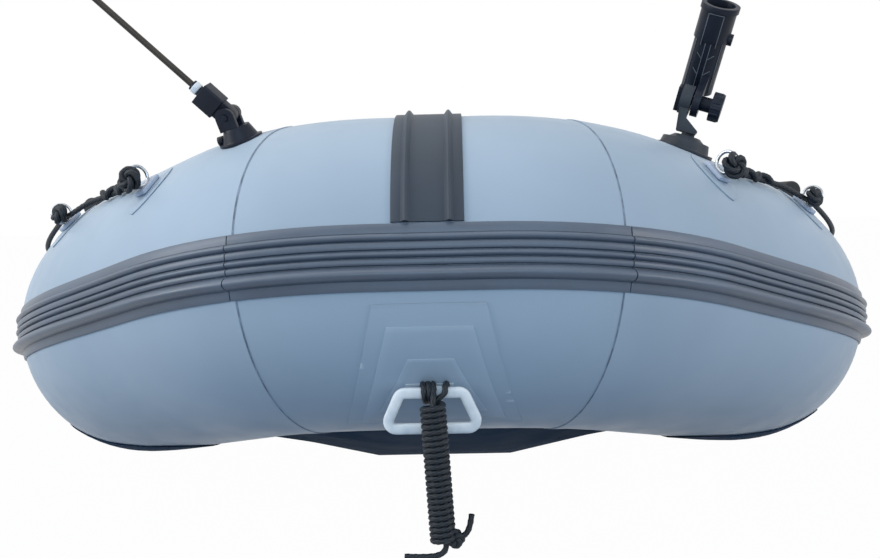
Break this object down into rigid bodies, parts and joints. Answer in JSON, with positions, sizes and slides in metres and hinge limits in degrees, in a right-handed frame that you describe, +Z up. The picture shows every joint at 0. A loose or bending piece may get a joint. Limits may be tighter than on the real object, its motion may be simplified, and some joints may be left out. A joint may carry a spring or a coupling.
{
  "type": "inflatable boat",
  "caption": "Inflatable tender with soft bottom, rubbing strake, transom, benches, oars in rowlocks, bow handle with rope, rod holder and folding staff.",
  "frame": {"origin": "on the ground under the flat of the keel, halfway along the boat", "axes": "+Z up, -Y towards the bow, +X towards the boat's port side"},
  "size_m": [1.4938, 3.0155, 1.0124],
  "materials": {
    "tube_fabric": "grey coated fabric, satin",
    "strake_rubber": "dark grey extruded rubber, satin",
    "bottom_fabric": "black coated fabric, matt",
    "cap_plastic": "black moulded plastic",
    "deck_fabric": "light grey drop-stitch deck, embossed",
    "transom_board": "grey coated plywood",
    "bench_metal": "anodised",
    "oar_metal": "anodised tube",
    "black_plastic": "black moulded plastic, satin",
    "white_plastic": "white moulded plastic",
    "clear_strap": "soft translucent strap",
    "ring_steel": "stainless steel, polished",
    "black_rope": "black braided rope",
    "carbon_staff": "dark fibre staff",
    "grip_rubber": "black grip"
  },
  "bodies": {
    "boat": {"bow_panel_center": "tube_fabric", "bow_panel_port": "tube_fabric", "bow_panel_starboard": "tube_fabric", "side_tube_port": "tube_fabric", "side_tube_starboard": "tube_fabric", "stern_cone_port": "tube_fabric", "stern_cone_starboard": "tube_fabric", "cone_cap_port": "cap_plastic", "cone_cap_starboard": "cap_plastic", "strake_bow": "strake_rubber", "strake_port": "strake_rubber", "strake_starboard": "strake_rubber", "bow_chafe_pad": "strake_rubber", "bottom_wrap_port": "bottom_fabric", "bottom_wrap_starboard": "bottom_fabric", "hull_bottom": "bottom_fabric", "air_deck": "deck_fabric", "transom": "transom_board", "transom_pad_outer": "black_plastic", "transom_pad_inner": "black_plastic", "drain_valve": "black_plastic", "seat_rail_port": "strake_rubber", "seat_rail_starboard": "strake_rubber", "seat_front": "bench_metal", "seat_rear": "bench_metal", "rowlock_base_port": "black_plastic", "rowlock_base_starboard": "black_plastic", "bow_handle": "white_plastic", "bow_handle_patch": "tube_fabric", "handle_strap": "clear_strap", "rod_base": "black_plastic", "staff_base": "black_plastic", "valve_port": "black_plastic", "valve_starboard": "black_plastic", "deck_valve": "black_plastic", "line_patches_port": "tube_fabric", "line_patches_starboard": "tube_fabric", "line_rings_port": "ring_steel", "line_rings_starboard": "ring_steel", "grab_line_port": "black_rope", "grab_line_starboard": "black_rope", "painter_hank": "black_rope", "painter_hitch": "black_rope", "painter_ends": "black_rope"},
    "rod_swivel": {"rod_post": "black_plastic"},
    "rod_arm": {"rod_cradle": "black_plastic", "rod_clamp_knob": "black_plastic"},
    "staff_arm": {"staff_socket": "black_plastic", "staff": "carbon_staff"},
    "oar_port": {"rowlock_port": "black_plastic", "oar_shaft_port": "oar_metal", "oar_grip_port": "grip_rubber", "oar_blade_port": "black_plastic"},
    "oar_starboard": {"rowlock_starboard": "black_plastic", "oar_shaft_starboard": "oar_metal", "oar_grip_starboard": "grip_rubber", "oar_blade_starboard": "black_plastic"}
  },
  "joints": [
    {"name": "rod_swivel", "type": "hinge", "parent": "boat", "child": "rod_swivel", "pos_m": [0.3449, -1.20193, 0.51731], "axis": [0.3124, -0.0459, 0.9488], "continuous": true},
    {"name": "rod_tilt", "type": "hinge", "parent": "rod_swivel", "child": "rod_arm", "pos_m": [0.36614, -1.20505, 0.58183], "axis": [0.9182, -0.2417, -0.314], "range_deg": [-57, 48]},
    {"name": "staff_fold", "type": "hinge", "parent": "boat", "child": "staff_arm", "pos_m": [-0.25199, -1.3315, 0.56739], "axis": [-0.1314, -0.9431, -0.3056], "range_deg": [-105, 45]},
    {"name": "oar_port_swing", "type": "hinge", "parent": "boat", "child": "oar_port", "pos_m": [0.585, -0.15, 0.466], "axis": [0, 0, -1], "range_deg": [-10, 97]},
    {"name": "oar_starboard_swing", "type": "hinge", "parent": "boat", "child": "oar_starboard", "pos_m": [-0.585, -0.15, 0.466], "axis": [0, 0, 1], "range_deg": [-10, 97]}
  ]
}
